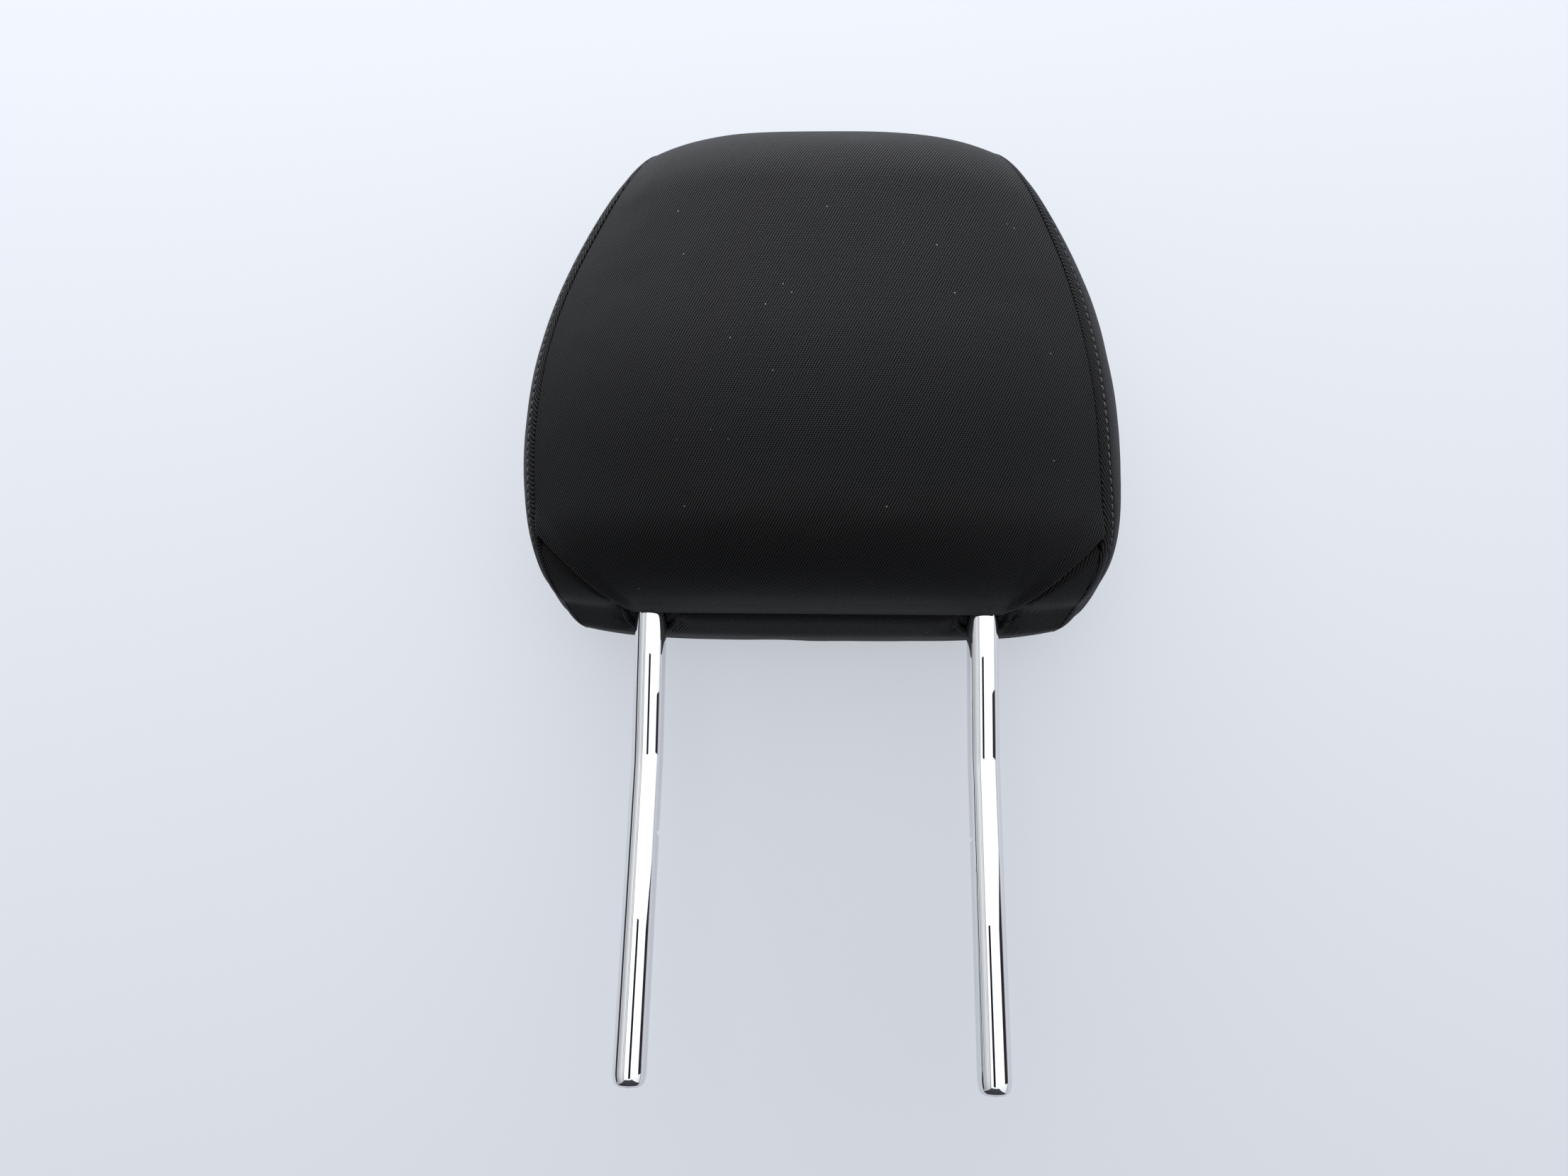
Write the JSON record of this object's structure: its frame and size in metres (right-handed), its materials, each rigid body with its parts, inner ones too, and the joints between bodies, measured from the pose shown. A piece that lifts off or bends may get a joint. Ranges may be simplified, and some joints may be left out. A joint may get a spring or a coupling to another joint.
{
  "type": "car headrest",
  "caption": "Padded seat headrest: foam pad in a charcoal woven cover with boxed sides, on a bent tubular chrome post frame with height notches, lying on its back.",
  "frame": {"origin": "on the surface it lies on, below the middle of its box", "axes": "+Y from the tips of the posts towards the crown of the cushion, +Z out of the front face that the head rests on, +X to the right as that face is looked at with the posts down"},
  "size_m": [0.2458, 0.391, 0.0967],
  "materials": {
    "chrome_steel": "bright chrome plating on drawn steel tube",
    "drawn_wire": "plain drawn wire",
    "moulded_foam": "moulded soft foam with a fine skin",
    "charcoal_cloth": "fine twill weave, matt, slightly fuzzy",
    "closure_plastic": "extruded strip",
    "charcoal_thread": "twisted sewing thread"
  },
  "bodies": {
    "root": {"post_frame": "chrome_steel", "support_wire": "drawn_wire", "foam_pad": "moulded_foam", "front_panel": "charcoal_cloth", "back_panel": "charcoal_cloth", "left_side_panel": "charcoal_cloth", "right_side_panel": "charcoal_cloth", "front_closure_strip": "closure_plastic", "back_closure_strip": "closure_plastic", "left_topstitch": "charcoal_thread", "right_topstitch": "charcoal_thread"}
  },
  "joints": []
}
